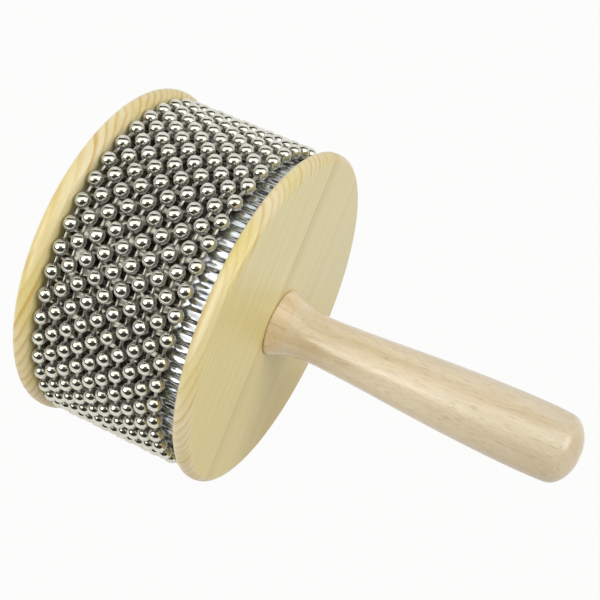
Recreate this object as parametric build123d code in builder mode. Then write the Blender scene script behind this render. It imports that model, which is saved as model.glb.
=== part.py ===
"""Cabasa: a wooden drum on a turned handle, with ten loops of ball chain round a ridged steel sleeve.

The drum lies on the rims of its two discs. X runs along the axis towards the handle's end and Z is up.
The origin is on the floor, under the middle of the whole length.
"""

import os
from math import asin, cos, pi, radians, sin, sqrt

from build123d import *

os.makedirs("parts", exist_ok=True)

# End discs, in millimetres
DISC_R = 58.0
DISC_T = 6.0
DISC_EDGE_R = 2.7  # rounding of both edges of a disc's rim
EDGE_FLATS = 2  # turned flats that make up each rounding
DRUM_W = 52.6  # between the inner faces of the discs

# Handle, with places measured from the front disc's outer face
HANDLE_L = 105.0
HANDLE_SIDES = 20
FOOT_R = 11.7  # flared foot on the disc
FOOT_MID_R = 9.5
FOOT_MID_X = 5.0
NECK_R = 8.3  # waist behind the foot
NECK_X = 13.0
GRIP_MID_R = 10.45
GRIP_MID_X = 53.0
GRIP_R = 11.7  # thickest place
GRIP_X = 88.0
END_R = 11.4  # where the domed end starts
END_DOME = 7.6  # length of the domed end
TENON_R = 7.0
TENON_IN_CORE = 30.0
SOCKET_ROOM = 0.5  # free space past the tenon's end

# Central wood screw that draws rear disc, core and handle together
SCREW_R = 2.5
SCREW_L = 50.0
SCREW_HEAD_R = 4.8
SCREW_TIP = 4.0  # length of the point
PILOT_ROOM = 1.0  # pilot hole past the screw's point
DRIVE_R = 1.6  # hexagonal drive recess in the head
DRIVE_DEPTH = 1.4

# Ridged sleeve of steel sheet round the core
RIDGES = 88
RIDGE_H = 0.5
SHEET_T = 0.5
SEAM_W = 0.6  # slit where the rolled sheet's ends meet

# Ball chain
BEAD_D = 4.8
BEAD_PITCH = 7.77  # along the loop, from bead to bead
LINK_R = 0.8
RIM_COVER = 1.2  # how far a disc's rim stands past the beads
STRAND_SLACK = 5.0  # free width that the loops leave beside the front disc
BEAD_TURN = 5.2  # degrees from +Y to a bead of the first loop

# Clearances
WOOD_PLAY = 0.25  # round wooden fits and the screw in its holes
SLEEVE_PLAY = 0.25  # sleeve round the core, and its ends beside the discs
BEAD_PLAY = 0.35  # bead corners over the ridges, and beads beside the rear disc
NEST_PLAY = 0.6  # between beads of neighbouring loops
LINK_PLAY = 0.08  # link ends beside their beads

# Places along X, worked out from the sizes
REAR_X = -(2 * DISC_T + DRUM_W + HANDLE_L) / 2
REAR_INNER_X = REAR_X + DISC_T
FRONT_INNER_X = REAR_INNER_X + DRUM_W
FRONT_X = FRONT_INNER_X + DISC_T

# A ball of twenty flat faces with the same mean outline as a round bead
BALL_CORNER_R = BEAD_D / 2 * 1.146
LAND_H = BALL_CORNER_R * 0.7947  # height of its end faces over the middle
LAND_R = BALL_CORNER_R * 0.6071  # corner radius of its end faces
WAIST_H = BALL_CORNER_R * 0.1876
WAIST_R = BALL_CORNER_R * 0.9822
BALL_SIDE = WAIST_R * cos(radians(30))  # half width of the ball along the drum

# The loops, seated between the rims and the sleeve
LOOP_R = DISC_R - RIM_COVER - BEAD_D / 2
BEADS = round(2 * pi * LOOP_R / BEAD_PITCH)
BEAD_STEP = 360 / BEADS
HALF_CHORD = LOOP_R * sin(radians(BEAD_STEP / 2))
NEST = 2 * BALL_CORNER_R + NEST_PLAY
STRAND_STEP = sqrt(NEST**2 - HALF_CHORD**2)
FIRST_STRAND_X = REAR_INNER_X + BALL_SIDE + BEAD_PLAY
LAST_STRAND_X = FRONT_INNER_X - BALL_SIDE - STRAND_SLACK
STRANDS = int((LAST_STRAND_X - FIRST_STRAND_X) / STRAND_STEP) + 1

# Sleeve and core under the loops
RIDGE_R = LOOP_R - WAIST_R - BEAD_PLAY
SLEEVE_INNER_R = RIDGE_R - RIDGE_H - SHEET_T
CORE_R = SLEEVE_INNER_R - SLEEVE_PLAY


DRUM_AXIS = Axis((0, 0, DISC_R), (1, 0, 0))


def across(x):
    """The plane across the drum at x, on the axis, with its own X along +Y and its normal along +X."""
    return Plane(origin=(x, 0, DISC_R), x_dir=(0, 1, 0), z_dir=(1, 0, 0))


def along(x):
    """The plane of a turned profile: its own X runs along the axis from x and its Y is the radius."""
    return Plane(origin=(x, 0, DISC_R), x_dir=(1, 0, 0), z_dir=(0, -1, 0))


def save(builder, name):
    builder.part.label = name
    export_step(builder.part, f"parts/{name}.step")


def disc_outline(hole_r):
    """Half the section of a disc from its outer radius to a hole, with rounded rim edges, from X = 0."""
    edge = []
    for i in range(EDGE_FLATS + 1):
        turn = pi / 2 * i / EDGE_FLATS
        edge.append((DISC_EDGE_R * (1 - cos(turn)), DISC_R - DISC_EDGE_R * (1 - sin(turn))))
    far_edge = [(DISC_T - x, r) for x, r in reversed(edge)]
    return [(0, hole_r), *edge, *far_edge, (DISC_T, hole_r)]


# Front disc, with the hole that the handle's tenon passes
with BuildPart() as front_disc:
    with BuildSketch(along(FRONT_INNER_X)):
        with BuildLine():
            Polyline(*disc_outline(TENON_R + WOOD_PLAY), close=True)
        make_face()
    revolve(axis=DRUM_AXIS)
save(front_disc, "front_disc")

# Rear disc, countersunk for the screw
with BuildPart() as rear_disc:
    with BuildSketch(along(REAR_X)):
        with BuildLine():
            Polyline(*disc_outline(SCREW_R + WOOD_PLAY), close=True)
        make_face()
    revolve(axis=DRUM_AXIS)
    mouth = rear_disc.faces().sort_by(Axis.X)[0].edges().sort_by(SortBy.RADIUS)[0]
    chamfer(mouth, SCREW_HEAD_R - SCREW_R)
save(rear_disc, "rear_disc")

# Wooden core, with the handle's socket in front and the screw's hole behind it
with BuildPart() as core:
    with BuildSketch(across(REAR_INNER_X)):
        Circle(CORE_R)
        Circle(SCREW_R + WOOD_PLAY, mode=Mode.SUBTRACT)
    extrude(amount=DRUM_W)
    with BuildSketch(across(FRONT_INNER_X)):
        Circle(TENON_R + WOOD_PLAY)
    extrude(amount=-(TENON_IN_CORE + SOCKET_ROOM), mode=Mode.SUBTRACT)
save(core, "core")

# Steel sleeve: a rolled sheet with ridges along the drum and a slit underneath
SLEEVE_L = DRUM_W - 2 * SLEEVE_PLAY
with BuildPart() as sleeve:
    with BuildSketch(across(REAR_INNER_X + SLEEVE_PLAY)):
        with BuildLine():
            corners = []
            for i in range(2 * RIDGES):
                turn = pi * i / RIDGES
                reach = RIDGE_R if i % 2 else RIDGE_R - RIDGE_H
                corners.append((reach * cos(turn), reach * sin(turn)))
            Polyline(*corners, close=True)
        make_face()
        Circle(SLEEVE_INNER_R, mode=Mode.SUBTRACT)
        with Locations((0, -RIDGE_R)):
            Rectangle(SEAM_W, RIDGE_R, mode=Mode.SUBTRACT)
    extrude(amount=SLEEVE_L)
save(sleeve, "sleeve")

# Turned handle with its tenon and the pilot hole for the screw
TENON_L = DISC_T + TENON_IN_CORE
DOME_X = HANDLE_L - END_DOME
SCREW_IN_TENON = SCREW_L - DISC_T - (DRUM_W - TENON_IN_CORE)
SHANK = [
    (0, FOOT_R),
    (FOOT_MID_X, FOOT_MID_R),
    (NECK_X, NECK_R),
    (GRIP_MID_X, GRIP_MID_R),
    (GRIP_X, GRIP_R),
    (DOME_X, END_R),
]
DOME = [(DOME_X + END_DOME * sin(t), END_R * cos(t)) for t in (0, pi / 6, pi / 3, 0.47 * pi)]
with BuildPart() as handle:
    for outline in (SHANK, DOME):
        for x, r in outline:
            with BuildSketch(across(FRONT_X + x)):
                RegularPolygon(r, HANDLE_SIDES)
        loft()
    with BuildSketch(across(FRONT_X - TENON_L)):
        Circle(TENON_R)
    extrude(amount=TENON_L)
    with BuildSketch(across(FRONT_X - TENON_L)):
        Circle(SCREW_R + WOOD_PLAY)
    extrude(amount=SCREW_IN_TENON + PILOT_ROOM, mode=Mode.SUBTRACT)
save(handle, "handle")

# Countersunk wood screw on the axis
SCREW_HEAD_H = SCREW_HEAD_R - SCREW_R
with BuildPart() as screw:
    with BuildSketch(along(REAR_X)):
        with BuildLine():
            Polyline(
                (0, 0),
                (0, SCREW_HEAD_R),
                (SCREW_HEAD_H, SCREW_R),
                (SCREW_L - SCREW_TIP, SCREW_R),
                (SCREW_L, 0),
                close=True,
            )
        make_face()
    revolve(axis=DRUM_AXIS)
    with BuildSketch(across(REAR_X)):
        RegularPolygon(DRIVE_R, 6)
    extrude(amount=DRIVE_DEPTH, mode=Mode.SUBTRACT)
save(screw, "screw")


def ring_of_corners(height, reach, first_turn):
    """Three corners round the ball's chain axis, which is Y. X is the drum's radius and Z its axis."""
    turns = [radians(first_turn + 120 * i) for i in range(3)]
    return [Vector(reach * cos(t), height, reach * sin(t)) for t in turns]


def faceted_ball():
    """A ball of twenty triangles with a flat end face for the link on each side along the chain."""
    top = ring_of_corners(LAND_H, LAND_R, 0)
    upper = ring_of_corners(WAIST_H, WAIST_R, 60)
    lower = ring_of_corners(-WAIST_H, WAIST_R, 0)
    bottom = ring_of_corners(-LAND_H, LAND_R, 60)
    triangles = [top, bottom]
    for i in range(3):
        after = (i + 1) % 3
        triangles.append((top[i], top[after], upper[i]))
        triangles.append((top[i], upper[i], lower[i]))
        triangles.append((top[after], upper[i], lower[after]))
        triangles.append((bottom[i], upper[i], lower[i]))
        triangles.append((bottom[i], upper[i], lower[after]))
        triangles.append((bottom[i], bottom[after], lower[after]))
    faces = [Face(Wire.make_polygon(corners, close=True)) for corners in triangles]
    return Solid(Shell(faces))


# Length of a link between the end faces of two beads
LINK_L = 2 * (HALF_CHORD - LAND_H / cos(radians(BEAD_STEP / 2)) - LINK_PLAY)

bead = faceted_ball()
with BuildPart() as link:
    with BuildSketch(Plane.XZ.offset(-LINK_L / 2)):
        RegularPolygon(LINK_R, 3)
    extrude(amount=LINK_L)

# Ten loops side by side, each turned by half a bead's step against the one before
for number in range(STRANDS):
    strand_plane = across(FIRST_STRAND_X + number * STRAND_STEP)
    bead_turn = BEAD_TURN - number * BEAD_STEP / 2
    link_turn = bead_turn + BEAD_STEP / 2
    link_loop_r = LOOP_R * cos(radians(BEAD_STEP / 2))
    with BuildPart(strand_plane) as beads:
        with PolarLocations(LOOP_R, BEADS, start_angle=bead_turn):
            add(bead)
    save(beads, f"strand_{number + 1:02d}_beads")
    with BuildPart(strand_plane) as links:
        with PolarLocations(link_loop_r, BEADS, start_angle=link_turn):
            add(link.part)
    save(links, f"strand_{number + 1:02d}_links")

print("beads in a loop", BEADS, "loops", STRANDS, "step between loops", round(STRAND_STEP, 3))
print("link length", round(LINK_L, 3), "turn of a link", round(2 * asin(HALF_CHORD / LOOP_R) * 180 / pi, 3))
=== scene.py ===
from math import asin, atan2, cos, degrees, pi, radians, sin, sqrt

import bmesh
import bpy
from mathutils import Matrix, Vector


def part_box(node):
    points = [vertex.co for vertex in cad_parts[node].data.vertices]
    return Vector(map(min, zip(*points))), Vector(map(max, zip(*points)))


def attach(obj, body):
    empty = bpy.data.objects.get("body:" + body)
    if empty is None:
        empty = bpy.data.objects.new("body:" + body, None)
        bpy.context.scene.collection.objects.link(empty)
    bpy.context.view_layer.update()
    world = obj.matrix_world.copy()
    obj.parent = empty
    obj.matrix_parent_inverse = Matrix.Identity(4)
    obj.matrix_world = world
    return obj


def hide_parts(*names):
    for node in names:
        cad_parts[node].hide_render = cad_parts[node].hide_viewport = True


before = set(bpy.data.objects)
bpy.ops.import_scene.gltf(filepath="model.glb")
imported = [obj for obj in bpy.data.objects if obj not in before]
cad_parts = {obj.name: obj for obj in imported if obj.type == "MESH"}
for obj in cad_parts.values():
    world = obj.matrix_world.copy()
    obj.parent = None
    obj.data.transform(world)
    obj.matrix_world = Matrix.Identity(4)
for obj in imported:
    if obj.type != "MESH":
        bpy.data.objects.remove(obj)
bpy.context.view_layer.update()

# Sizes, in metres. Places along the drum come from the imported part.
MM = 0.001
TINY = 0.02 * MM
front_low, front_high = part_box("front_disc")
rear_low, rear_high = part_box("rear_disc")
DISC_R = (front_high.z - front_low.z) / 2
AXIS_Z = (front_high.z + front_low.z) / 2
FRONT_X = front_high.x
FIRST_STRAND_X = sum(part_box("strand_01_beads"), Vector()).x / 2
STRAND_STEP = sum(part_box("strand_02_beads"), Vector()).x / 2 - FIRST_STRAND_X

# Wooden parts
DISC_SIDES = 128
DISC_EDGE_R = 2.7 * MM
DISC_EDGE_CUTS = 7
TENON_HOLE_R = 7.25 * MM
SCREW_HOLE_R = 2.75 * MM
COUNTERSINK = 2.3 * MM
HANDLE_SIDES = 64
TENON_R = 7.0
DOME_X = 97.6
DOME_L = 7.4
DOME_R = 11.46
# Millimetres from the disc's face, and radius, from the tenon's end to the dome
HANDLE_RINGS = [
    (-36.0, 6.2), (-35.2, 6.95), (-34.0, TENON_R), (-1.0, TENON_R), (-0.1, TENON_R), (0.02, 7.2),
    (0.02, 10.9), (0.06, 11.4), (0.4, 11.66), (1.1, 11.42), (2.6, 10.72), (4.4, 9.98), (5.6, 9.52),
    (6.6, 9.18), (8.2, 8.76), (10.2, 8.42), (13.4, 8.2), (17.4, 8.26), (22.0, 8.47), (28.0, 8.79),
    (35.0, 9.19), (44.0, 9.84), (53.7, 10.5), (63.0, 11.02), (73.2, 11.45), (81.0, 11.66),
    (88.0, 11.73), (93.2, 11.66), (DOME_X, DOME_R),
]
DOME_TURNS = (0.22, 0.46, 0.7, 0.94, 1.16, 1.36)
CRACK_TURNS = (radians(129), radians(97))

# Embossed sleeve
GRAINS_ROUND = 88
GRAIN_ROWS = 7
SHEET_R = 50.95 * MM
GRAIN_H = 0.46 * MM  # up and down from the sheet's middle
GRAIN_CREASE = 0.35

# Ball chain
STRANDS = 10
BEADS = 44
BEAD_STEP = 2 * pi / BEADS
BEAD_TURN = radians(5.2)
STRAND_TURN = BEAD_STEP / 2 - radians(0.06)  # the nested loops lag a little, each behind the last
LOOP_R = 54.4 * MM
BEAD_R = 2.4 * MM
BEAD_CUTS = 2
BEAD_CAGE_R = BEAD_R * 1.035  # flat faces cut inside the round, so the corners stand a little out
DIMPLE_GROW = 1.15
DIMPLE_EDGE = 0.12 * MM
DIMPLE_DEPTH = 0.2 * MM
LINK_SIDES = 8
LINK_R = 0.8 * MM
LINK_WAIST = 0.7
LINK_L = 3.9 * MM


def begin():
    """Leaves edit mode and drops every selection, so that the next tool touches only what it makes."""
    if bpy.context.object and bpy.context.object.mode == "EDIT":
        bpy.ops.object.mode_set(mode="OBJECT")
    bpy.ops.object.select_all(action="DESELECT")


def settle(name):
    """Names the piece just made, puts its place into its mesh and opens it for shaping."""
    piece = bpy.context.object
    piece.name = name
    piece.data.name = name
    bpy.ops.object.transform_apply(location=True, rotation=True, scale=True)
    bpy.ops.object.mode_set(mode="EDIT")
    return piece


def choose(piece, kind, test):
    """In edit mode, selects only the vertices, edges or faces whose middle passes the test."""
    bpy.ops.mesh.select_mode(type=kind)
    bpy.ops.mesh.select_all(action="DESELECT")
    mesh = bmesh.from_edit_mesh(piece.data)
    parts = {"VERT": mesh.verts, "EDGE": mesh.edges, "FACE": mesh.faces}[kind]
    for part in parts:
        corners = [part] if kind == "VERT" else part.verts
        middle = sum((corner.co for corner in corners), Vector()) / len(corners)
        if test(middle):
            part.select_set(True)
    mesh.select_flush_mode()
    bmesh.update_edit_mesh(piece.data)


def close_up(piece, angle):
    """Turns all faces outwards, leaves edit mode and smooths the shading up to an angle in degrees."""
    bpy.ops.mesh.select_all(action="SELECT")
    bpy.ops.mesh.normals_make_consistent(inside=False)
    bpy.ops.object.mode_set(mode="OBJECT")
    bpy.ops.object.shade_smooth_by_angle(angle=radians(angle))
    return piece


def round_out(piece, levels):
    """A live subdivision surface, the same in view and render."""
    rounding = piece.modifiers.new("rounding", "SUBSURF")
    rounding.levels = levels
    rounding.render_levels = levels
    return piece


def from_axis(place):
    """Distance from the drum's axis."""
    return sqrt(place.y ** 2 + (place.z - AXIS_Z) ** 2)


def turned_handle():
    """Handle and tenon, drawn out from one circle ring by ring and closed at the domed end."""
    rings = list(HANDLE_RINGS)
    rings += [(DOME_X + DOME_L * sin(turn), DOME_R * cos(turn)) for turn in DOME_TURNS]
    rings = [(FRONT_X + x * MM, r * MM) for x, r in rings]
    begin()
    bpy.ops.mesh.primitive_circle_add(
        vertices=HANDLE_SIDES, radius=rings[0][1], fill_type="NGON",
        location=(rings[0][0], 0, AXIS_Z), rotation=(0, pi / 2, 0))
    handle = settle("turned_handle")
    bpy.ops.mesh.select_all(action="SELECT")
    for (x, r), (next_x, next_r) in zip(rings, rings[1:]):
        bpy.ops.mesh.extrude_region_move(TRANSFORM_OT_translate={"value": (next_x - x, 0, 0)})
        bpy.ops.transform.resize(
            value=(1, next_r / r, next_r / r), center_override=(next_x, 0, AXIS_Z))
    return round_out(close_up(handle, 60), 1)


def board_disc(name, low, high):
    """A disc of board with both rim edges rounded, still without its hole."""
    begin()
    bpy.ops.mesh.primitive_cylinder_add(
        vertices=DISC_SIDES, radius=DISC_R, depth=high.x - low.x, end_fill_type="NGON",
        location=((low.x + high.x) / 2, 0, AXIS_Z), rotation=(0, pi / 2, 0))
    disc = settle(name)
    for face_x in (low.x, high.x):
        choose(disc, "FACE", lambda place: abs(place.x - face_x) < TINY)
        bpy.ops.mesh.bevel(
            offset=DISC_EDGE_R, segments=DISC_EDGE_CUTS, profile=0.5, affect="EDGES", clamp_overlap=False)
    return disc


def sink_hole(disc, face_x, start_r, hole_r, depth=0):
    """Insets the face at face_x from one radius to a smaller one, and pushes it in by depth."""
    choose(disc, "FACE", lambda place: abs(place.x - face_x) < TINY and from_axis(place) < TINY)
    bpy.ops.mesh.inset(thickness=(start_r - hole_r) * cos(pi / DISC_SIDES), depth=-depth)


def front_board():
    """Front disc with the through hole for the tenon."""
    disc = board_disc("front_board", front_low, front_high)
    for face_x in (front_low.x, front_high.x):
        sink_hole(disc, face_x, DISC_R - DISC_EDGE_R, TENON_HOLE_R)
    choose(disc, "FACE", lambda place: from_axis(place) < TINY)
    bpy.ops.mesh.bridge_edge_loops()
    return close_up(disc, 30)


def rear_board():
    """Rear disc, countersunk from behind for the screw."""
    disc = board_disc("rear_board", rear_low, rear_high)
    mouth_r = SCREW_HOLE_R + COUNTERSINK
    sink_hole(disc, rear_low.x, DISC_R - DISC_EDGE_R, mouth_r)
    sink_hole(disc, rear_low.x, mouth_r, SCREW_HOLE_R, COUNTERSINK)
    sink_hole(disc, rear_high.x, DISC_R - DISC_EDGE_R, SCREW_HOLE_R)
    choose(disc, "FACE", lambda place: from_axis(place) < TINY)
    bpy.ops.mesh.bridge_edge_loops()
    return close_up(disc, 30)


def embossed_sleeve():
    """Rolled steel sheet, embossed all over with long pointed facets that tilt up and down in turn."""
    low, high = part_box("sleeve")
    columns = 2 * GRAINS_ROUND
    row_l = (high.x - low.x) / GRAIN_ROWS
    begin()
    bpy.ops.mesh.primitive_cylinder_add(
        vertices=columns, radius=SHEET_R, depth=high.x - low.x, end_fill_type="NOTHING",
        location=((low.x + high.x) / 2, 0, AXIS_Z), rotation=(0, pi / 2, 0))
    sleeve = settle("embossed_sleeve")
    choose(sleeve, "EDGE", lambda place: low.x + TINY < place.x < high.x - TINY)
    bpy.ops.mesh.subdivide(number_cuts=GRAIN_ROWS - 1)
    bpy.ops.mesh.select_mode(type="FACE")
    bpy.ops.mesh.select_all(action="SELECT")
    bpy.ops.mesh.poke()
    # The first grid's edges go, and the slanting ones between them are left as long diamonds
    bpy.ops.mesh.select_mode(type="EDGE")
    bpy.ops.mesh.select_all(action="DESELECT")
    mesh = bmesh.from_edit_mesh(sleeve.data)
    for edge in mesh.edges:
        run = edge.verts[0].co - edge.verts[1].co
        if len(edge.link_faces) == 2 and (abs(run.x) < TINY or run.yz.length < TINY):
            edge.select_set(True)
    bmesh.update_edit_mesh(sleeve.data)
    bpy.ops.mesh.dissolve_edges(use_verts=False, use_face_split=False)
    bpy.ops.mesh.select_all(action="SELECT")
    bpy.ops.transform.edge_crease(value=GRAIN_CREASE)

    def chequer(place):
        """0 or 1 in turn, round and along, for the corners between the rings, and None for the rest."""
        along = (place.x - low.x) / row_l
        if abs(along - round(along)) < 0.25:
            return None
        round_drum = atan2(place.z - AXIS_Z, place.y) % (2 * pi) / (2 * pi) * columns
        return (int(along) + int(round_drum)) % 2

    for turn, rise in ((0, GRAIN_H), (1, -GRAIN_H)):
        choose(sleeve, "VERT", lambda place: chequer(place) == turn)
        grow = (SHEET_R + rise) / SHEET_R
        bpy.ops.transform.resize(value=(1, grow, grow), center_override=(0, 0, AXIS_Z))
    return round_out(close_up(sleeve, 60), 2)


def bead_corner(bead):
    """How far the open bead's corners stand from its middle."""
    mesh = bmesh.from_edit_mesh(bead.data)
    return max((corner.co - Vector((0, 0, LOOP_R))).length for corner in mesh.verts)


def chain_bead():
    """One hollow bead at the top of a loop round the X axis, dimpled where the links enter it."""
    begin()
    bpy.ops.mesh.primitive_cube_add(size=BEAD_R, location=(0, 0, LOOP_R))
    bead = settle("bead")
    bpy.ops.mesh.select_all(action="SELECT")
    bpy.ops.mesh.subdivide(number_cuts=BEAD_CUTS)
    bpy.ops.transform.tosphere(value=1.0)
    grow = BEAD_CAGE_R / bead_corner(bead)
    bpy.ops.transform.resize(value=(grow, grow, grow), center_override=(0, 0, LOOP_R))
    for side in (-1, 1):
        choose(bead, "FACE", lambda place: place.y * side > 0.9 * BEAD_R)
        bpy.ops.transform.resize(
            value=(DIMPLE_GROW, 1, DIMPLE_GROW), center_override=(0, side * BEAD_R, LOOP_R))
        bpy.ops.mesh.inset(thickness=DIMPLE_EDGE, depth=-DIMPLE_DEPTH)
    return close_up(bead, 45)


def chain_link():
    """One link pin at the top of a loop, waisted between the two beads it holds."""
    link_z = LOOP_R * cos(BEAD_STEP / 2)
    begin()
    bpy.ops.mesh.primitive_cylinder_add(
        vertices=LINK_SIDES, radius=LINK_R, depth=LINK_L, end_fill_type="NGON",
        location=(0, 0, link_z), rotation=(pi / 2, 0, 0))
    link = settle("link")
    choose(link, "EDGE", lambda place: abs(place.y) < TINY)
    bpy.ops.mesh.subdivide(number_cuts=3)
    choose(link, "VERT", lambda place: abs(place.y) < LINK_L / 3)
    bpy.ops.transform.resize(value=(LINK_WAIST, 1, LINK_WAIST), center_override=(0, 0, link_z))
    return close_up(link, 60)


def loop_of(single):
    """Copies a bead or link round the X axis into one loop."""
    begin()
    bpy.ops.object.empty_add(location=(0, 0, 0), rotation=(BEAD_STEP, 0, 0))
    step = bpy.context.object
    begin()
    bpy.context.view_layer.objects.active = single
    single.select_set(True)
    row = single.modifiers.new("loop", "ARRAY")
    row.count = BEADS
    row.use_relative_offset = False
    row.use_object_offset = True
    row.offset_object = step
    bpy.ops.object.modifier_apply(modifier=row.name)
    bpy.data.objects.remove(step)
    return single


def lay_loop(loop, name, number, turn):
    """A copy of a loop with its own mesh, laid round the drum at the place of a strand."""
    low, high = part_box(f"strand_{number:02d}_beads")
    begin()
    bpy.context.view_layer.objects.active = loop
    loop.select_set(True)
    bpy.ops.object.duplicate(linked=False)
    laid = bpy.context.object
    laid.name = name
    laid.data.name = name
    laid.location = ((low.x + high.x) / 2, 0, AXIS_Z)
    laid.rotation_euler = (turn, 0, 0)
    bpy.ops.object.transform_apply(location=True, rotation=True, scale=True)
    return laid


def colour(code):
    """An sRGB hex colour as the linear one that a socket takes."""
    parts = [int(code[i:i + 2], 16) / 255 for i in (1, 3, 5)]
    return [c / 12.92 if c <= 0.04045 else ((c + 0.055) / 1.055) ** 2.4 for c in parts] + [1.0]


def node(tree, kind, sockets=(), stops=(), **settings):
    """Adds a node with its settings, its sockets' values or links, and a ramp's stops."""
    made = tree.nodes.new("ShaderNode" + kind)
    for name, value in settings.items():
        setattr(made, name, value)
    for name, value in dict(sockets).items():
        if isinstance(value, bpy.types.NodeSocket):
            tree.links.new(value, made.inputs[name])
        else:
            made.inputs[name].default_value = value
    for place, code in stops:
        stop = made.color_ramp.elements.new(place)
        stop.color = colour(code)
    if stops:
        made.color_ramp.elements.remove(made.color_ramp.elements[0])
        made.color_ramp.elements.remove(made.color_ramp.elements[-1])
    return made


def new_material(name):
    """An empty material, its tree and its shader."""
    made = bpy.data.materials.new(name)
    made.use_nodes = True
    return made, made.node_tree, made.node_tree.nodes["Principled BSDF"]


def wear(piece, material, body, slot, *nodes):
    """Gives a new piece its finish, the body it rides on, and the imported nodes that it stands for."""
    piece.data.materials.clear()
    piece.data.materials.append(material)
    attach(piece, body)
    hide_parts(*nodes)


def lacquered_beech():
    """Beech, turned and sanded, under a thin satin lacquer: a pale pinkish ground, faint long growth
    bands and short brown ray flecks along the handle, with one long soft gleam."""
    made, tree, shader = new_material("lacquered_beech")
    place = node(tree, "TexCoord").outputs["Object"]
    axes = node(tree, "SeparateXYZ", {"Vector": place})
    # Growth bands, about 5 mm wide and wandering over 60 mm of length
    band_place = node(tree, "Mapping", {
        "Vector": place, "Scale": (1 / (60 * MM), 1 / (5 * MM), 1 / (9 * MM))})
    bands = node(tree, "TexNoise", {
        "Vector": band_place.outputs[0], "Scale": 1.0, "Detail": 3.0, "Roughness": 0.5})
    ground = node(tree, "ValToRGB", {"Fac": bands.outputs["Fac"]}, stops=[
        (0.3, "#dfcaa4"), (0.5, "#e6d5b4"), (0.7, "#ebddbf")])
    # The foot is end grain that drank the lacquer, for 6 mm from the disc
    foot = node(tree, "MapRange", {
        "Value": axes.outputs["X"], "From Min": FRONT_X + 6.6 * MM, "From Max": FRONT_X + 5.4 * MM},
        interpolation_type="SMOOTHSTEP")
    foot_share = node(tree, "Math", {0: foot.outputs[0], 1: 0.34}, operation="MULTIPLY")
    footed = node(tree, "Mix", {
        "Factor": foot_share.outputs[0], "A": ground.outputs["Color"], "B": colour("#e2c084")},
        data_type="RGBA")
    # Two fine drying cracks run in from the foot, about 0.3 mm wide
    centred = node(tree, "VectorMath", {0: place, 1: (0, 0, AXIS_Z)}, operation="SUBTRACT")
    cracked = footed
    for turn in CRACK_TURNS:
        off = node(tree, "VectorMath", {0: centred.outputs[0], 1: (0, -sin(turn), cos(turn))},
                   operation="DOT_PRODUCT")
        far = node(tree, "Math", {0: off.outputs["Value"]}, operation="ABSOLUTE")
        crack = node(tree, "MapRange", {
            "Value": far.outputs[0], "From Min": 0.2 * MM, "From Max": 0.05 * MM, "To Max": 0.4})
        crack_share = node(tree, "Math", {0: crack.outputs[0], 1: foot.outputs[0]}, operation="MULTIPLY")
        cracked = node(tree, "Mix", {
            "Factor": crack_share.outputs[0], "A": cracked.outputs["Result"], "B": colour("#8a6a3c")},
            data_type="RGBA")
    # Ray flecks, about 3 mm long and 0.45 mm wide; real ones are half as wide and would not show
    fleck_place = node(tree, "Mapping", {
        "Vector": place, "Rotation": (0.4, 0.02, 0.03),
        "Scale": (1 / (3.2 * MM), 1 / (0.45 * MM), 1 / (0.6 * MM))})
    flecks = node(tree, "TexNoise", {
        "Vector": fleck_place.outputs[0], "Scale": 1.0, "Detail": 1.0, "Roughness": 0.4})
    fleck_mask = node(tree, "MapRange", {
        "Value": flecks.outputs["Fac"], "From Min": 0.55, "From Max": 0.74, "To Min": 0.0, "To Max": 0.3},
        interpolation_type="SMOOTHSTEP")
    flecked = node(tree, "Mix", {
        "Factor": fleck_mask.outputs[0], "A": cracked.outputs["Result"], "B": colour("#b08d5c")},
        data_type="RGBA")
    # Fibre, about 0.25 mm wide, that the lacquer only half fills
    fibre_place = node(tree, "Mapping", {
        "Vector": place, "Scale": (1 / (14 * MM), 1 / (0.25 * MM), 1 / (0.25 * MM))})
    fibre = node(tree, "TexNoise", {"Vector": fibre_place.outputs[0], "Scale": 1.0, "Detail": 2.0})
    fibre_shade = node(tree, "MapRange", {
        "Value": fibre.outputs["Fac"], "From Min": 0.3, "From Max": 0.7, "To Min": 0.9, "To Max": 1.06})
    # Painted light and shade: the wood is drawn paler towards the foot, where the disc shades it from the
    # lamps, and darker towards the end, over 85 mm
    painted_light_along_handle = node(tree, "MapRange", {
        "Value": axes.outputs["X"], "From Min": FRONT_X + 10 * MM, "From Max": FRONT_X + 95 * MM,
        "To Min": 1.08, "To Max": 0.9})
    shade = node(tree, "Math", {0: fibre_shade.outputs[0], 1: painted_light_along_handle.outputs[0]}, operation="MULTIPLY")
    shaded = node(tree, "VectorMath", {0: flecked.outputs["Result"], 1: shade.outputs[0]},
                  operation="MULTIPLY")
    gloss = node(tree, "MapRange", {
        "Value": fibre.outputs["Fac"], "From Min": 0.3, "From Max": 0.7, "To Min": 0.36, "To Max": 0.26})
    relief = node(tree, "Bump", {"Height": fibre.outputs["Fac"], "Strength": 0.06, "Distance": 0.1 * MM})
    # The hand has rubbed the lacquer thin towards the end
    lacquer = node(tree, "MapRange", {
        "Value": axes.outputs["X"], "From Min": FRONT_X + 20 * MM, "From Max": FRONT_X + 90 * MM,
        "To Min": 0.8, "To Max": 0.2})
    tree.links.new(shaded.outputs[0], shader.inputs["Base Color"])
    tree.links.new(gloss.outputs[0], shader.inputs["Roughness"])
    tree.links.new(relief.outputs[0], shader.inputs["Normal"])
    tree.links.new(lacquer.outputs[0], shader.inputs["Coat Weight"])
    shader.inputs["Coat Roughness"].default_value = 0.12
    return made


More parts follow.
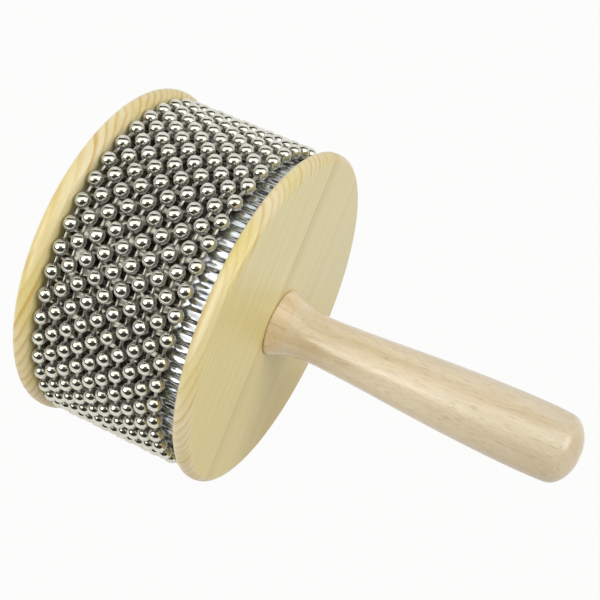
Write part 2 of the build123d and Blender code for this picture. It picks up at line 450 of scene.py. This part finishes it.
def sanded_pine(name, grain_turn, ring_mm, tilt, rim_contrast, streaks):
    """Pine board, sanded and thinly varnished: pale straight growth rings that show as fine lines on the
    face and as slanting amber bands where they meet the rim.
    Streaks are (millimetres across the grain, half width, strength)."""
    made, tree, shader = new_material(name)
    place = node(tree, "TexCoord").outputs["Object"]
    centred = node(tree, "VectorMath", {0: place, 1: (0, 0, AXIS_Z)}, operation="SUBTRACT")
    board = node(tree, "Mapping", {"Vector": centred.outputs[0], "Rotation": (-grain_turn, 0, 0)})
    axes = node(tree, "SeparateXYZ", {"Vector": board.outputs[0]})
    # Growth rings: layers tilted through the board's thickness, wandering slowly along the grain
    warp_place = node(tree, "Mapping", {
        "Vector": board.outputs[0], "Scale": (1 / (25 * MM), 1 / (70 * MM), 1 / (14 * MM))})
    warp = node(tree, "TexNoise", {"Vector": warp_place.outputs[0], "Scale": 1.0, "Detail": 2.0})
    layer = node(tree, "Math", {0: axes.outputs["X"], 1: tilt, 2: axes.outputs["Z"]},
                 operation="MULTIPLY_ADD")
    count = node(tree, "Math", {0: layer.outputs[0], 1: 1 / (ring_mm * MM)}, operation="MULTIPLY")
    wander = node(tree, "Math", {0: warp.outputs["Fac"], 1: 2.4, 2: count.outputs[0]},
                  operation="MULTIPLY_ADD")
    ring = node(tree, "Math", {0: wander.outputs[0]}, operation="FRACT")
    year = node(tree, "Math", {0: wander.outputs[0]}, operation="FLOOR")
    late = node(tree, "MapRange", {"Value": ring.outputs[0], "From Min": 0.4, "From Max": 0.82},
                interpolation_type="SMOOTHSTEP")
    soft_end = node(tree, "MapRange", {"Value": ring.outputs[0], "From Min": 1.0, "From Max": 0.9})
    late_band = node(tree, "Math", {0: late.outputs[0], 1: soft_end.outputs[0]}, operation="MULTIPLY")
    luck = node(tree, "TexWhiteNoise", {"W": year.outputs[0]}, noise_dimensions="1D")
    strength = node(tree, "MapRange", {"Value": luck.outputs["Value"], "To Min": 0.25, "To Max": 1.0})
    late_wood = node(tree, "Math", {0: late_band.outputs[0], 1: strength.outputs[0]}, operation="MULTIPLY")
    # The rim cuts the layers across, so it drinks more varnish and shows them more strongly
    flat = node(tree, "VectorMath", {0: centred.outputs[0], 1: (0, 1, 1)}, operation="MULTIPLY")
    radius = node(tree, "VectorMath", {0: flat.outputs[0]}, operation="LENGTH")
    rim = node(tree, "MapRange", {
        "Value": radius.outputs["Value"], "From Min": DISC_R - 3.0 * MM, "From Max": DISC_R - 1.6 * MM},
        interpolation_type="SMOOTHSTEP")
    contrast = node(tree, "MapRange", {"Value": rim.outputs[0], "To Min": 0.25, "To Max": rim_contrast})
    amber = node(tree, "Math", {0: late_wood.outputs[0], 1: contrast.outputs[0]}, operation="MULTIPLY")
    # One end of the board is paler than the other, over 25 mm, partly the board's own tone and partly
    # painted warm shade below the handle, and one corner is painted yellower still as the shade that falls
    # under the handle
    pale = node(tree, "MapRange", {
        "Value": axes.outputs["Y"], "From Min": -5 * MM, "From Max": 20 * MM},
        interpolation_type="SMOOTHSTEP")
    painted_shade_along = node(tree, "MapRange", {
        "Value": axes.outputs["Y"], "From Min": -5 * MM, "From Max": -28 * MM},
        interpolation_type="SMOOTHSTEP")
    painted_shade_across = node(tree, "MapRange", {
        "Value": axes.outputs["Z"], "From Min": -10 * MM, "From Max": -40 * MM},
        interpolation_type="SMOOTHSTEP")
    corner = node(tree, "Math", {0: painted_shade_along.outputs[0], 1: painted_shade_across.outputs[0]},
                  operation="MULTIPLY")
    # Painted shade: the corner mask yellows the face where the handle's shade falls
    yellow_face_and_painted_shade = node(tree, "Mix", {
        "Factor": corner.outputs[0], "A": colour("#e6d898"), "B": colour("#e0c87a")}, data_type="RGBA")
    face = node(tree, "Mix", {
        "Factor": pale.outputs[0], "A": yellow_face_and_painted_shade.outputs["Result"], "B": colour("#e9dfae")}, data_type="RGBA")
    rim_ground = node(tree, "ValToRGB", {"Fac": warp.outputs["Fac"]}, stops=[
        (0.35, "#e5d48c"), (0.65, "#ecdeb6")])
    ground = node(tree, "Mix", {
        "Factor": rim.outputs[0], "A": face.outputs["Result"], "B": rim_ground.outputs["Color"]},
        data_type="RGBA")
    ringed = node(tree, "Mix", {
        "Factor": amber.outputs[0], "A": ground.outputs["Result"], "B": colour("#d3ab55")},
        data_type="RGBA")
    # Streaks along the grain: resin, and in the front board's wide streak at -21 mm partly painted shade
    # below the handle
    streaked = ringed
    for across, half_width, depth in streaks:
        off = node(tree, "Math", {0: axes.outputs["Z"], 1: across * MM}, operation="SUBTRACT")
        far = node(tree, "Math", {0: off.outputs[0]}, operation="ABSOLUTE")
        near = node(tree, "MapRange", {
            "Value": far.outputs[0], "From Min": half_width * MM, "From Max": 0.0, "To Max": depth},
            interpolation_type="SMOOTHSTEP")
        streaked = node(tree, "Mix", {
            "Factor": near.outputs[0], "A": streaked.outputs["Result"], "B": colour("#b89043")},
            data_type="RGBA")
    # Fibre along the grain, 0.3 mm wide, drawn a little coarser than real so that it shows
    fibre_place = node(tree, "Mapping", {
        "Vector": board.outputs[0], "Scale": (1 / (0.3 * MM), 1 / (30 * MM), 1 / (0.3 * MM))})
    fibre = node(tree, "TexNoise", {"Vector": fibre_place.outputs[0], "Scale": 1.0, "Detail": 2.0})
    fibre_shade = node(tree, "MapRange", {
        "Value": fibre.outputs["Fac"], "From Min": 0.3, "From Max": 0.7, "To Min": 0.93, "To Max": 1.03})
    shaded = node(tree, "VectorMath", {0: streaked.outputs["Result"], 1: fibre_shade.outputs[0]},
                  operation="MULTIPLY")
    gloss = node(tree, "MapRange", {
        "Value": fibre.outputs["Fac"], "From Min": 0.3, "From Max": 0.7, "To Min": 0.5, "To Max": 0.38})
    relief = node(tree, "Bump", {"Height": fibre.outputs["Fac"], "Strength": 0.08, "Distance": 0.1 * MM})
    varnish = node(tree, "MapRange", {"Value": rim.outputs[0], "To Min": 0.12, "To Max": 0.36})
    tree.links.new(shaded.outputs[0], shader.inputs["Base Color"])
    tree.links.new(gloss.outputs[0], shader.inputs["Roughness"])
    tree.links.new(relief.outputs[0], shader.inputs["Normal"])
    tree.links.new(varnish.outputs[0], shader.inputs["Coat Weight"])
    shader.inputs["Coat Roughness"].default_value = 0.25
    return made


def nickel_plate(name, tints, glosses, satin, dark_ends=0.0):
    """Nickel plate on steel, tumbled: a warm grey mirror with slight dents, hazy patches and a satin rim.
    Tints and glosses are for the clear and the hazy patches, satin is the roughness at the rim, and
    dark_ends how far grime and painted shade darken the plate beside the holes of the balls."""
    made, tree, shader = new_material(name)
    place = node(tree, "TexCoord").outputs["Object"]
    # Hazy patches, about 3 mm across
    haze = node(tree, "TexNoise", {"Vector": place, "Scale": 1 / (3 * MM), "Detail": 3.0})
    mirror = node(tree, "ValToRGB", {"Fac": haze.outputs["Fac"]}, stops=[
        (0.3, tints[0]), (0.7, tints[1])])
    tint = mirror.outputs["Color"]
    gloss = node(tree, "MapRange", {
        "Value": haze.outputs["Fac"], "From Min": 0.3, "From Max": 0.7,
        "To Min": glosses[0], "To Max": glosses[1]})
    # Fine scratches scatter the light that meets them at a slant
    slant = node(tree, "LayerWeight", {"Blend": 0.5})
    rim = node(tree, "MapRange", {
        "Value": slant.outputs["Facing"], "From Min": 0.33, "From Max": 0.46},
        interpolation_type="SMOOTHSTEP")
    rim_gloss = node(tree, "Mix", {"Factor": rim.outputs[0], "A": gloss.outputs[0], "B": satin})
    # Painted shade, with grime: the pins are darkened beside the holes of the balls, where the balls shade
    # them
    if dark_ends:
        # Turns round the drum are counted in beads, about half a bead on from strand to strand
        axes = node(tree, "SeparateXYZ", {"Vector": place})
        height = node(tree, "Math", {0: axes.outputs["Z"], 1: AXIS_Z}, operation="SUBTRACT")
        turn = node(tree, "Math", {0: height.outputs[0], 1: axes.outputs["Y"]}, operation="ARCTAN2")
        beads_on = node(tree, "Math", {0: turn.outputs[0], 1: 1 / BEAD_STEP, 2: -BEAD_TURN / BEAD_STEP},
                        operation="MULTIPLY_ADD")
        strands_on = node(tree, "Math", {0: axes.outputs["X"], 1: -FIRST_STRAND_X}, operation="ADD")
        beads_a_metre = STRAND_TURN / BEAD_STEP / STRAND_STEP
        phase = node(tree, "Math", {0: strands_on.outputs[0], 1: beads_a_metre, 2: beads_on.outputs[0]},
                     operation="MULTIPLY_ADD")
        from_bead = node(tree, "Math", {0: phase.outputs[0], 1: 0.5}, operation="PINGPONG")
        grime_and_painted_shade = node(tree, "MapRange", {
            "Value": from_bead.outputs[0], "From Min": 0.41, "From Max": 0.36, "To Max": dark_ends},
            interpolation_type="SMOOTHSTEP")
        grimed_and_shaded = node(tree, "Mix", {
            "Factor": grime_and_painted_shade.outputs[0], "A": tint, "B": colour("#2e2a20")}, data_type="RGBA")
        tint = grimed_and_shaded.outputs["Result"]
    # Dents from tumbling, about 0.8 mm across
    dents = node(tree, "TexNoise", {"Vector": place, "Scale": 1 / (0.8 * MM), "Detail": 1.0})
    relief = node(tree, "Bump", {"Height": dents.outputs["Fac"], "Strength": 0.12, "Distance": 0.05 * MM})
    tree.links.new(tint, shader.inputs["Base Color"])
    tree.links.new(rim_gloss.outputs[0], shader.inputs["Roughness"])
    tree.links.new(relief.outputs[0], shader.inputs["Normal"])
    shader.inputs["Metallic"].default_value = 1.0
    shader.inputs["Sheen Weight"].default_value = 1.0
    shader.inputs["Sheen Roughness"].default_value = 0.5
    return made


def embossed_steel():
    """Bright stainless sheet, embossed between rolls: a cold mirror with fine drawn lines along the drum,
    and under the chain an even roughness and a painted dark tint for the shade between the balls."""
    made, tree, shader = new_material("embossed_stainless_sheet")
    place = node(tree, "TexCoord").outputs["Object"]
    # Rolling lines, 0.3 mm apart and 20 mm long
    line_place = node(tree, "Mapping", {
        "Vector": place, "Scale": (1 / (20 * MM), 1 / (0.3 * MM), 1 / (0.3 * MM))})
    lines = node(tree, "TexNoise", {"Vector": line_place.outputs[0], "Scale": 1.0, "Detail": 2.0})
    tint = node(tree, "ValToRGB", {"Fac": lines.outputs["Fac"]}, stops=[
        (0.3, "#b0b4b7"), (0.7, "#c7cacb")])
    gloss = node(tree, "MapRange", {
        "Value": lines.outputs["Fac"], "From Min": 0.3, "From Max": 0.7, "To Min": 0.18, "To Max": 0.26})
    # The chain's run ends about the middle of the last strand
    chain_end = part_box(f"strand_{STRANDS:02d}_beads")[1].x
    axes = node(tree, "SeparateXYZ", {"Vector": place})
    chain_zone = node(tree, "MapRange", {
        "Value": axes.outputs["X"], "From Min": chain_end - 1.2 * MM, "From Max": chain_end - 3.2 * MM},
        interpolation_type="SMOOTHSTEP")
    # Painted shade: the sheet is tinted dark under the chain, for the shade between the balls
    chain_shade_tint = node(tree, "Mix", {
        "Factor": chain_zone.outputs[0], "A": tint.outputs["Color"], "B": colour("#77756a")},
        data_type="RGBA")
    worn_gloss = node(tree, "Mix", {"Factor": chain_zone.outputs[0], "A": gloss.outputs[0], "B": 0.24})
    relief = node(tree, "Bump", {"Height": lines.outputs["Fac"], "Strength": 0.05, "Distance": 0.05 * MM})
    tree.links.new(chain_shade_tint.outputs["Result"], shader.inputs["Base Color"])
    tree.links.new(worn_gloss.outputs[0], shader.inputs["Roughness"])
    tree.links.new(relief.outputs[0], shader.inputs["Normal"])
    shader.inputs["Metallic"].default_value = 1.0
    return made


def zinc_plate():
    """Zinc-plated screw steel: a dull, slightly bluish grey with a fine crystal mottle."""
    made, tree, shader = new_material("zinc_plated_steel")
    place = node(tree, "TexCoord").outputs["Object"]
    # Mottle, about 0.6 mm across
    mottle = node(tree, "TexNoise", {"Vector": place, "Scale": 1 / (0.6 * MM), "Detail": 4.0})
    tint = node(tree, "ValToRGB", {"Fac": mottle.outputs["Fac"]}, stops=[
        (0.3, "#a9adb0"), (0.7, "#c8cbcd")])
    gloss = node(tree, "MapRange", {
        "Value": mottle.outputs["Fac"], "From Min": 0.3, "From Max": 0.7, "To Min": 0.3, "To Max": 0.45})
    tree.links.new(tint.outputs["Color"], shader.inputs["Base Color"])
    tree.links.new(gloss.outputs[0], shader.inputs["Roughness"])
    shader.inputs["Metallic"].default_value = 1.0
    return made


beech = lacquered_beech()
# The front board's wide streak at -21 mm is partly a resin streak and partly painted shade below the
# handle
front_pine = sanded_pine(
    "sanded_pine_front", grain_turn=radians(38), ring_mm=2.8, tilt=-0.9, rim_contrast=0.68,
    streaks=[(9.9, 1.1, 0.2), (8.8, 2.4, 0.12), (6.4, 5, 0.16), (-21, 5, 0.08)])
rear_pine = sanded_pine(
    "sanded_pine_rear", grain_turn=radians(34.6), ring_mm=3.6, tilt=-1.0, rim_contrast=0.95,
    streaks=[(-9, 1.2, 0.2)])
core_wood = sanded_pine(
    "core_pine", grain_turn=radians(80), ring_mm=3.2, tilt=0.4, rim_contrast=0.4, streaks=[])
ball_nickel = nickel_plate(
    "bright_nickel_balls", tints=("#ceccba", "#e1e0d2"), glosses=(0.04, 0.1), satin=0.28)
pin_nickel = nickel_plate(
    "dull_nickel_pins", tints=("#a6a496", "#bcbaac"), glosses=(0.26, 0.36), satin=0.45, dark_ends=0.85)
steel = embossed_steel()
zinc = zinc_plate()

wear(turned_handle(), beech, "drum", "turned_beech", "handle")
wear(front_board(), front_pine, "drum", "pine_board", "front_disc")
wear(rear_board(), rear_pine, "drum", "pine_board", "rear_disc")
wear(embossed_sleeve(), steel, "drum", "sleeve_steel", "sleeve")
for name, material in (("core", core_wood), ("screw", zinc)):
    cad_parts[name].data.materials.clear()
    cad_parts[name].data.materials.append(material)

bead_loop = loop_of(chain_bead())
link_loop = loop_of(chain_link())
for number in range(1, STRANDS + 1):
    strand = f"strand_{number:02d}"
    turn = BEAD_TURN - pi / 2 - (number - 1) * STRAND_TURN
    beads = lay_loop(bead_loop, f"{strand}_balls", number, turn)
    wear(beads, ball_nickel, strand, "chain_plating", f"{strand}_beads")
    links = lay_loop(link_loop, f"{strand}_pins", number, turn + BEAD_STEP / 2)
    wear(links, pin_nickel, strand, "chain_plating", f"{strand}_links")
bpy.data.objects.remove(bead_loop)
bpy.data.objects.remove(link_loop)

# Studio, in metres and watts. It stands round the drum's middle, ahead is the camera's side of it,
# and aside is the camera's right.
MIDDLE = Vector((-50 * MM, 0, AXIS_Z))
CAMERA_SIDE = radians(-61.3)  # from +X to the camera, on the floor
AHEAD = Vector((cos(CAMERA_SIDE), sin(CAMERA_SIDE), 0))
ASIDE = Vector((-sin(CAMERA_SIDE), cos(CAMERA_SIDE), 0))
SCREEN_R = 1.6
SCREEN_RINGS = 48
CLOTH_L, CLOTH_W = 1.3, 2.6
CLOTH_AHEAD = 0.98
FLOOR_W = 8
FLOOR_WHITE = 0.96  # the rest of what is seen is paper in the drum's shadow
ROOM_LIGHT = 0.5
ROOM_MIRRORED = 0.97
ROOM_SEEN = 0.98

# Camera, found by fitting the rims of both discs in the photograph
CAMERA_LENS = 78.62  # millimetres, as the sensor
CAMERA_SENSOR = 36
CAMERA_PLACE = Vector((0.1039, -0.2132, 0.4095))
CAMERA_AIM = Vector((-0.2821, 0.5161, -0.8087))


def towards(height, side):
    """A direction from the middle: degrees up from ahead and over the top, and degrees aside."""
    up, across = radians(height), radians(side)
    return (AHEAD * cos(up) + Vector((0, 0, sin(up)))) * cos(across) + ASIDE * sin(across)


def softbox(name, direction, distance, width, height, power):
    """A soft lamp that looks at the middle of the drum."""
    lamp = bpy.data.lights.new(name, "AREA")
    lamp.shape = "RECTANGLE"
    lamp.size = width
    lamp.size_y = height
    lamp.energy = power
    made = bpy.data.objects.new(name, lamp)
    bpy.context.scene.collection.objects.link(made)
    made.location = MIDDLE + direction * distance
    made.rotation_euler = (MIDDLE - made.location).to_track_quat("-Z", "Y").to_euler()
    return made


def matte(name, code):
    """Cloth or card with no gleam at all, so that metal mirrors its flat tone."""
    made, tree, shader = new_material(name)
    shader.inputs["Base Color"].default_value = colour(code)
    shader.inputs["Roughness"].default_value = 1.0
    shader.inputs["Specular IOR Level"].default_value = 0.0
    return made


def only_mirrored(screen, name, material):
    """A screen that only gives the metal something dark to mirror, and takes no light from the wood."""
    screen.name = name
    screen.data.materials.append(material)
    screen.visible_camera = False
    screen.visible_diffuse = False
    screen.visible_shadow = False


def dark_zone(name, material, inside):
    """A zone of a great ball round the drum, where the height and the side in degrees pass the test."""
    begin()
    bpy.ops.mesh.primitive_uv_sphere_add(
        segments=2 * SCREEN_RINGS, ring_count=SCREEN_RINGS, radius=SCREEN_R, location=MIDDLE,
        rotation=(pi / 2, 0, CAMERA_SIDE + pi))
    zone = settle(name)

    def outside(place):
        ray = (place - MIDDLE).normalized()
        height = degrees(atan2(ray.z, ray.dot(AHEAD)))
        side = degrees(asin(max(-1, min(1, ray.dot(ASIDE)))))
        return not inside(height, side)

    choose(zone, "FACE", outside)
    bpy.ops.mesh.delete(type="FACE")
    bpy.ops.object.mode_set(mode="OBJECT")
    only_mirrored(zone, name, material)


def arched(height, side):
    """The band behind the drum climbs towards both sides."""
    return 99 < height - 35 * sin(radians(side)) ** 2 < 129 and abs(side) < 72


felt = matte("black_felt", "#3a3a36")
card = matte("grey_card", "#9a9a94")
dark_zone("front_screen", felt, lambda height, side: -4 < height < 37 and abs(side) < 80)
dark_zone("back_screen", felt, arched)
dark_zone("left_screen", felt, lambda height, side: side < -73)
dark_zone("camera_screen", card, lambda height, side: 36 < height < 61 and abs(side) < 21)

# Black cloth on the table before the drum
begin()
bpy.ops.mesh.primitive_plane_add(
    size=1, location=AHEAD * CLOTH_AHEAD + Vector((MIDDLE.x, 0, 1 * MM)), rotation=(0, 0, CAMERA_SIDE))
bpy.ops.transform.resize(value=(CLOTH_L, CLOTH_W, 1), orient_type="LOCAL")
only_mirrored(bpy.context.object, "table_screen", felt)

softbox("left_softbox", towards(57, -48), distance=1.0, width=0.55, height=0.55, power=3.2)
softbox("right_softbox", towards(59, 50), distance=1.5, width=0.82, height=0.82, power=8.2)
rear_lamp = softbox("rear_softbox", towards(128, -45), distance=1.1, width=0.6, height=0.6, power=1.9)
rear_lamp.visible_glossy = False
softbox("top_softbox", towards(80, 0), distance=1.2, width=1.8, height=0.6, power=2.4)

# Paper floor, lit white for the camera and the metal, with the drum's soft shadow left on it
begin()
bpy.ops.mesh.primitive_plane_add(size=FLOOR_W, location=(0, 0, 0))
floor = bpy.context.object
floor.name = "floor"
paper, tree, shader = new_material("white_paper_floor")
shader.inputs["Base Color"].default_value = colour("#aa9f86")
shader.inputs["Roughness"].default_value = 0.9
path = node(tree, "LightPath")
mirrored = node(tree, "Math", {
    0: path.outputs["Is Glossy Ray"], 1: path.outputs["Is Transmission Ray"]}, operation="MAXIMUM")
seen = node(tree, "Math", {0: path.outputs["Is Camera Ray"], 1: mirrored.outputs[0]}, operation="MAXIMUM")
share = node(tree, "Math", {0: seen.outputs[0], 1: FLOOR_WHITE}, operation="MULTIPLY")
white = node(tree, "Emission", {"Color": (1, 1, 1, 1), "Strength": 1.0})
lit = node(tree, "MixShader", {0: share.outputs[0], 1: shader.outputs[0], 2: white.outputs[0]})
tree.links.new(lit.outputs[0], tree.nodes["Material Output"].inputs["Surface"])
floor.data.materials.append(paper)

# The pale room: white for the camera and in the metal, and dimmer for what it lights
world = bpy.data.worlds.new("pale_room")
bpy.context.scene.world = world
world.use_nodes = True
tree = world.node_tree
path = node(tree, "LightPath")
mirrored = node(tree, "Math", {
    0: path.outputs["Is Glossy Ray"], 1: path.outputs["Is Transmission Ray"]}, operation="MAXIMUM")
unseen = node(tree, "MapRange", {
    "Value": mirrored.outputs[0], "To Min": ROOM_LIGHT, "To Max": ROOM_MIRRORED})
strength = node(tree, "Mix", {
    "Factor": path.outputs["Is Camera Ray"], "A": unseen.outputs[0], "B": ROOM_SEEN})
room = tree.nodes["Background"]
room.inputs["Color"].default_value = (1, 1, 1, 1)
tree.links.new(strength.outputs[0], room.inputs["Strength"])

camera = bpy.data.cameras.new("camera")
camera.lens = CAMERA_LENS
camera.sensor_width = CAMERA_SENSOR
camera.clip_start = 10 * MM
eye = bpy.data.objects.new("camera", camera)
bpy.context.scene.collection.objects.link(eye)
eye.location = CAMERA_PLACE
eye.rotation_euler = CAMERA_AIM.to_track_quat("-Z", "Y").to_euler()
bpy.context.scene.camera = eye
bpy.context.scene.view_settings.view_transform = "Standard"
